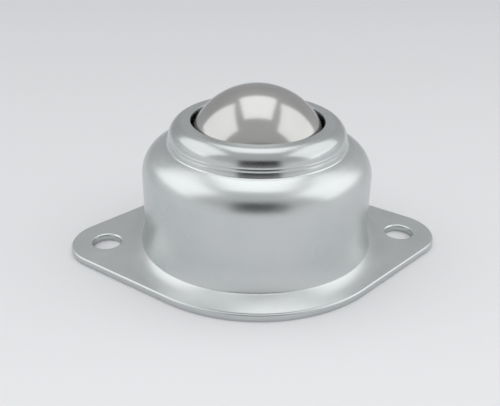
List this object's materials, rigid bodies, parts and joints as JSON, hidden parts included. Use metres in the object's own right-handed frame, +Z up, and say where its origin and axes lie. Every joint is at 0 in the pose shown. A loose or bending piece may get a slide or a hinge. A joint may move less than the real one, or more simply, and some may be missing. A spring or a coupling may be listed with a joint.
{
  "type": "ball transfer unit",
  "caption": "Flanged ball transfer unit: a steel load ball turns freely in a drawn steel housing, to move goods over a conveyor table in any direction.",
  "frame": {"origin": "on the load ball's axis, at the underside of the flange", "axes": "+Z up along the load ball's axis, out of the housing's opening; X along the line through the two fixing holes; Y across the flange"},
  "size_m": [0.08, 0.059, 0.0361],
  "materials": {
    "zinc_plate": "bright zinc plating on deep-drawn sheet steel, satin, with fine drawing lines",
    "polished_ball": "polished bearing steel, mirror bright",
    "hardened_cup": "case-hardened pressing, dark grey, lightly oiled",
    "bearing_ball": "ground bearing steel balls, bright"
  },
  "bodies": {
    "housing": {"housing": "zinc_plate", "race_cup": "hardened_cup"},
    "bearing_balls": {"bearing_ball_01": "bearing_ball", "bearing_ball_02": "bearing_ball", "bearing_ball_03": "bearing_ball", "bearing_ball_04": "bearing_ball", "bearing_ball_05": "bearing_ball", "bearing_ball_06": "bearing_ball", "bearing_ball_07": "bearing_ball", "bearing_ball_08": "bearing_ball", "bearing_ball_09": "bearing_ball", "bearing_ball_10": "bearing_ball", "bearing_ball_11": "bearing_ball", "bearing_ball_12": "bearing_ball", "bearing_ball_13": "bearing_ball", "bearing_ball_14": "bearing_ball", "bearing_ball_15": "bearing_ball", "bearing_ball_16": "bearing_ball", "bearing_ball_17": "bearing_ball", "bearing_ball_18": "bearing_ball", "bearing_ball_19": "bearing_ball", "bearing_ball_20": "bearing_ball", "bearing_ball_21": "bearing_ball", "bearing_ball_22": "bearing_ball", "bearing_ball_23": "bearing_ball", "bearing_ball_24": "bearing_ball", "bearing_ball_25": "bearing_ball", "bearing_ball_26": "bearing_ball", "bearing_ball_27": "bearing_ball", "bearing_ball_28": "bearing_ball", "bearing_ball_29": "bearing_ball", "bearing_ball_30": "bearing_ball", "bearing_ball_31": "bearing_ball", "bearing_ball_32": "bearing_ball", "bearing_ball_33": "bearing_ball", "bearing_ball_34": "bearing_ball", "bearing_ball_35": "bearing_ball", "bearing_ball_36": "bearing_ball", "bearing_balls_row_5": "bearing_ball", "bearing_balls_row_6": "bearing_ball", "bearing_balls_row_7": "bearing_ball"},
    "main_ball": {"main_ball": "polished_ball"}
  },
  "joints": [
    {"name": "ball_bed_orbit", "type": "hinge", "parent": "housing", "child": "bearing_balls", "pos_m": [0, 0, 0.0211], "axis": [0, 0, 1], "continuous": true},
    {"name": "load_ball_roll", "type": "hinge", "parent": "bearing_balls", "child": "main_ball", "pos_m": [0, 0, 0.0211], "axis": [1, 0, 0], "continuous": true}
  ]
}
